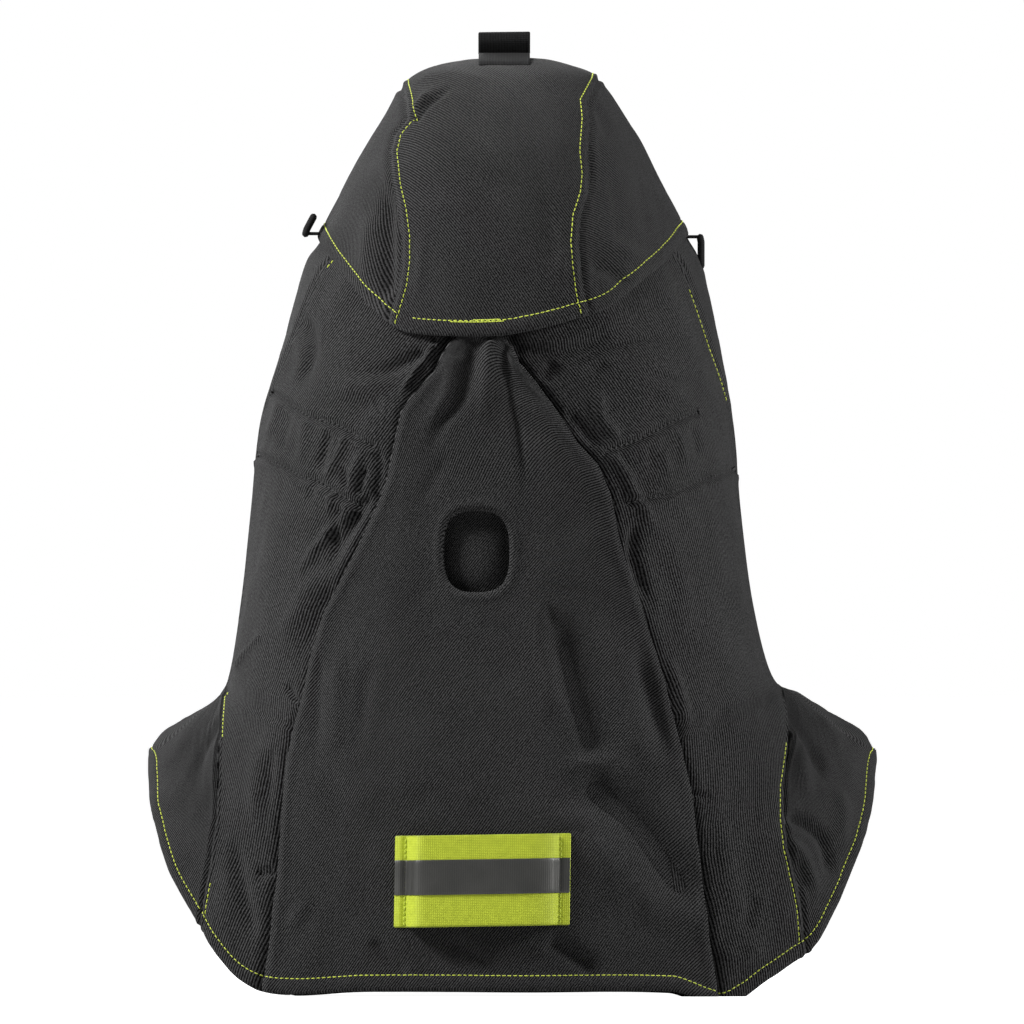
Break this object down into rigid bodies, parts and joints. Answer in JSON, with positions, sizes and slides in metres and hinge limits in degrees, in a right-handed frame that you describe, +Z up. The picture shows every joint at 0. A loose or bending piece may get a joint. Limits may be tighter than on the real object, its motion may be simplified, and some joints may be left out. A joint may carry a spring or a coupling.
{
  "type": "protective hood with shoulder cape",
  "caption": "Firefighter's padded fabric hood: seamed crown, face opening, flared cape with pleated back panel, webbing loops and a reflective tape loop.",
  "frame": {"origin": "inside of the crown, where the top of the wearer's head holds the hood up", "axes": "+Z up, -Y towards the back of the hood, +Y out of the face opening, +X to the right as seen from behind"},
  "size_m": [0.392, 0.2781, 0.5238],
  "materials": {
    "aramid_twill": "matte black twill",
    "lining_cloth": "matte black lining",
    "webbing": "black ribbed webbing",
    "elastic": "ribbed elastic",
    "thread": "fluorescent yellow thread",
    "fluorescent_tape": "fluorescent yellow woven tape",
    "reflective_film": "silver retroreflective film"
  },
  "bodies": {
    "hood": {"crown_centre_panel": "aramid_twill", "crown_side_panel_left": "aramid_twill", "crown_side_panel_right": "aramid_twill", "crown_hem_facing": "aramid_twill", "crown_lining": "lining_cloth", "crown_seam_thread_left": "thread", "crown_seam_thread_right": "thread", "crown_hem_thread": "thread", "top_loop_tails": "webbing", "temple_tab_left": "webbing", "temple_tab_right": "webbing", "back_panel": "aramid_twill", "hole_facing": "aramid_twill", "pleat_underlay": "aramid_twill", "side_panel_left": "aramid_twill", "side_panel_right": "aramid_twill", "shoulder_gusset_left": "aramid_twill", "shoulder_gusset_right": "aramid_twill", "front_panel_left": "aramid_twill", "front_panel_right": "aramid_twill", "face_band": "aramid_twill", "face_elastic": "elastic", "elastic_left": "elastic", "elastic_right": "elastic", "neck_lining": "lining_cloth", "cape_hem_facing": "aramid_twill", "cape_hem_thread": "thread", "gusset_thread_left": "thread", "gusset_thread_right": "thread", "side_thread_right": "thread", "tape_loop": "fluorescent_tape", "tape_stripe": "reflective_film"},
    "hanging_loop": {"top_loop": "webbing"},
    "left_temple_loop": {"temple_loop_left": "webbing"},
    "right_temple_loop": {"temple_loop_right": "webbing"}
  },
  "joints": [
    {"name": "hanging_loop_fold", "type": "hinge", "parent": "hood", "child": "hanging_loop", "pos_m": [-0.002, 0, 0.007], "axis": [1, 0, 0], "range_deg": [-65, 65], "stiffness_Nm_per_rad": 0.004},
    {"name": "left_temple_loop_fold", "type": "hinge", "parent": "hood", "child": "left_temple_loop", "pos_m": [-0.11055, -0.00008, -0.09006], "axis": [0, -1, 0], "range_deg": [0, 165]},
    {"name": "right_temple_loop_fold", "type": "hinge", "parent": "hood", "child": "right_temple_loop", "pos_m": [0.10455, -0.00008, -0.09006], "axis": [0, -1, 0], "range_deg": [0, 150]}
  ]
}
